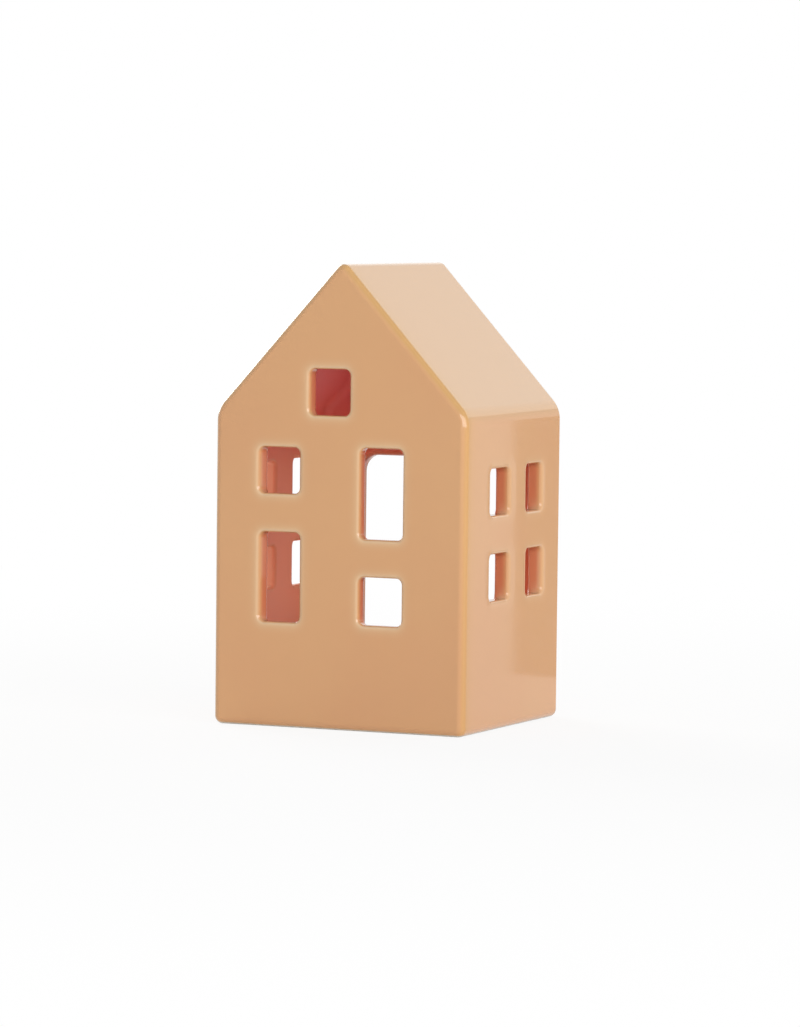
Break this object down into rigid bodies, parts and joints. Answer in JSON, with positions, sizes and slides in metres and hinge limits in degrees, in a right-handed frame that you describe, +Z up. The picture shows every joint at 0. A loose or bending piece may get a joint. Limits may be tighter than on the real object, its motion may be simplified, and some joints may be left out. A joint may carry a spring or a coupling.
{
  "type": "tealight house",
  "caption": "Hollow glazed ceramic house with a gabled roof, open rounded windows and a large rear opening, holding a loose tealight that draws out through the back.",
  "frame": {"origin": "on the surface the house stands on, under the middle of its base", "axes": "+Z up, -Y out of the front gable with its gable window, +X to the right as seen from the front"},
  "size_m": [0.08, 0.071, 0.1348],
  "materials": {
    "glaze": "gloss",
    "cup_metal": "satin",
    "wax": "satin",
    "wick_cotton": "matte",
    "tinplate": "satin"
  },
  "bodies": {
    "house": {"house_shell": "glaze"},
    "tealight": {"tealight_cup": "cup_metal"},
    "candle": {"tealight_wax": "wax", "wick": "wick_cotton", "wick_sustainer": "tinplate"}
  },
  "joints": [
    {"name": "tealight_slide", "type": "slide", "parent": "house", "child": "tealight", "axis": [0, 0.848, 0.5299], "range_m": [0, 0.08]},
    {"name": "candle_lift", "type": "slide", "parent": "tealight", "child": "candle", "axis": [0, 0, 1], "range_m": [0, 0.018]}
  ]
}
